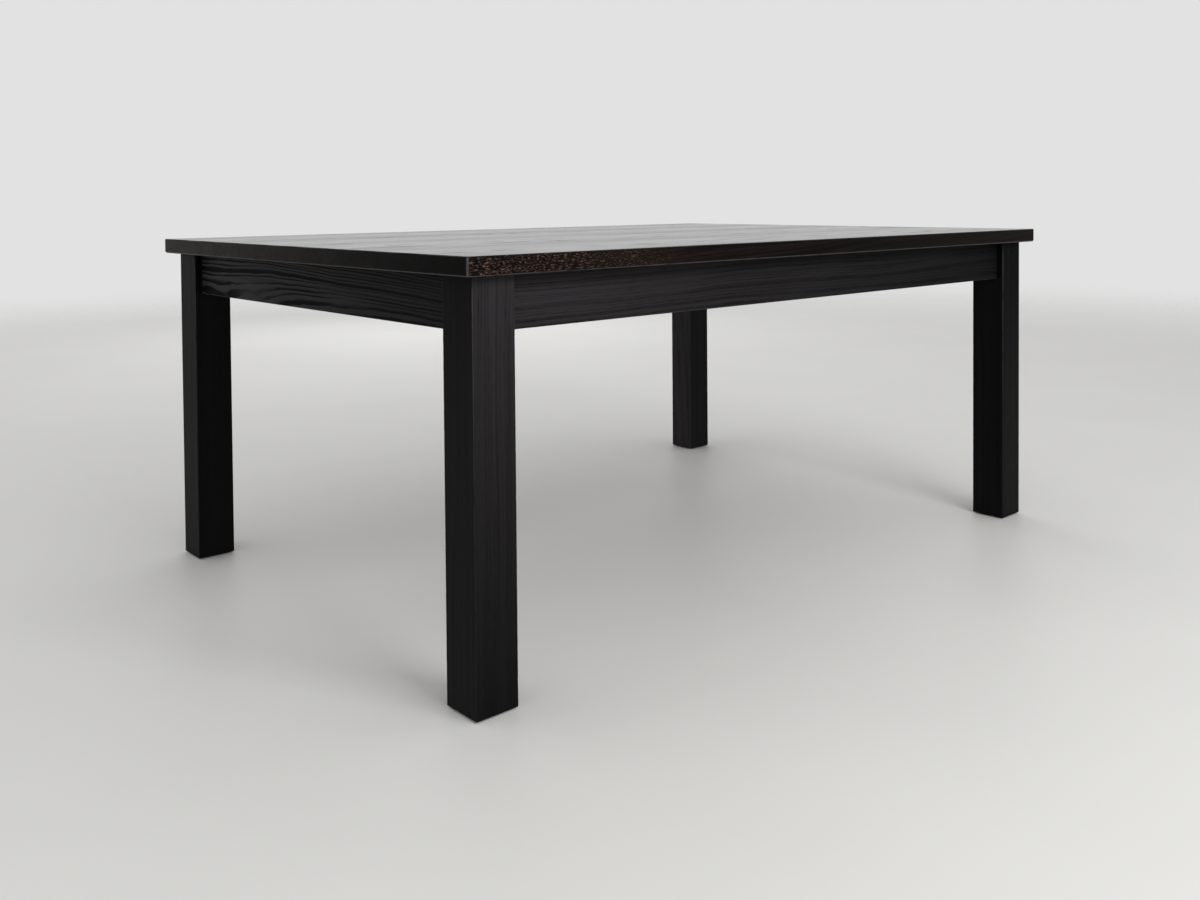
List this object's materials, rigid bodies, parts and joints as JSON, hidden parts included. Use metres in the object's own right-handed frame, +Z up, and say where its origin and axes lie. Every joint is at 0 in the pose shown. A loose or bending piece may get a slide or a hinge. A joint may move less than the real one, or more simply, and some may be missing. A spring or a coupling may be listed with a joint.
{
  "type": "dining table",
  "caption": "Rectangular dining table in black-stained oak with an edge-glued top, straight square legs and plain aprons, standing free on felt pads.",
  "frame": {"origin": "on the floor, under the middle of the top", "axes": "+X along the table's length, +Y across it, away from the front apron, +Z up"},
  "size_m": [1.8, 1.25, 0.75],
  "materials": {
    "black_oak": "open-pored oak stained black, satin",
    "frame_hardwood": "planed plain hardwood, oiled",
    "zinc_steel": "zinc-plated steel",
    "grey_felt": "pressed wool felt"
  },
  "bodies": {
    "root": {"top_board_1": "black_oak", "top_board_2": "black_oak", "top_board_3": "black_oak", "top_board_4": "black_oak", "top_board_5": "black_oak", "top_board_6": "black_oak", "top_board_7": "black_oak", "top_board_8": "black_oak", "top_board_9": "black_oak", "leg_front_left": "black_oak", "leg_front_right": "black_oak", "leg_back_left": "black_oak", "leg_back_right": "black_oak", "apron_front": "black_oak", "apron_back": "black_oak", "apron_left": "black_oak", "apron_right": "black_oak", "corner_block_front_left": "frame_hardwood", "corner_block_front_right": "frame_hardwood", "corner_block_back_left": "frame_hardwood", "corner_block_back_right": "frame_hardwood", "bearer_left": "frame_hardwood", "bearer_right": "frame_hardwood", "top_loose_tongues": "frame_hardwood", "hanger_bolts": "zinc_steel", "bolt_washers": "zinc_steel", "bolt_nuts": "zinc_steel", "bearer_screws": "zinc_steel", "top_clips": "zinc_steel", "clip_screws": "zinc_steel", "foot_pad_front_left": "grey_felt", "foot_pad_front_right": "grey_felt", "foot_pad_back_left": "grey_felt", "foot_pad_back_right": "grey_felt"}
  },
  "joints": []
}
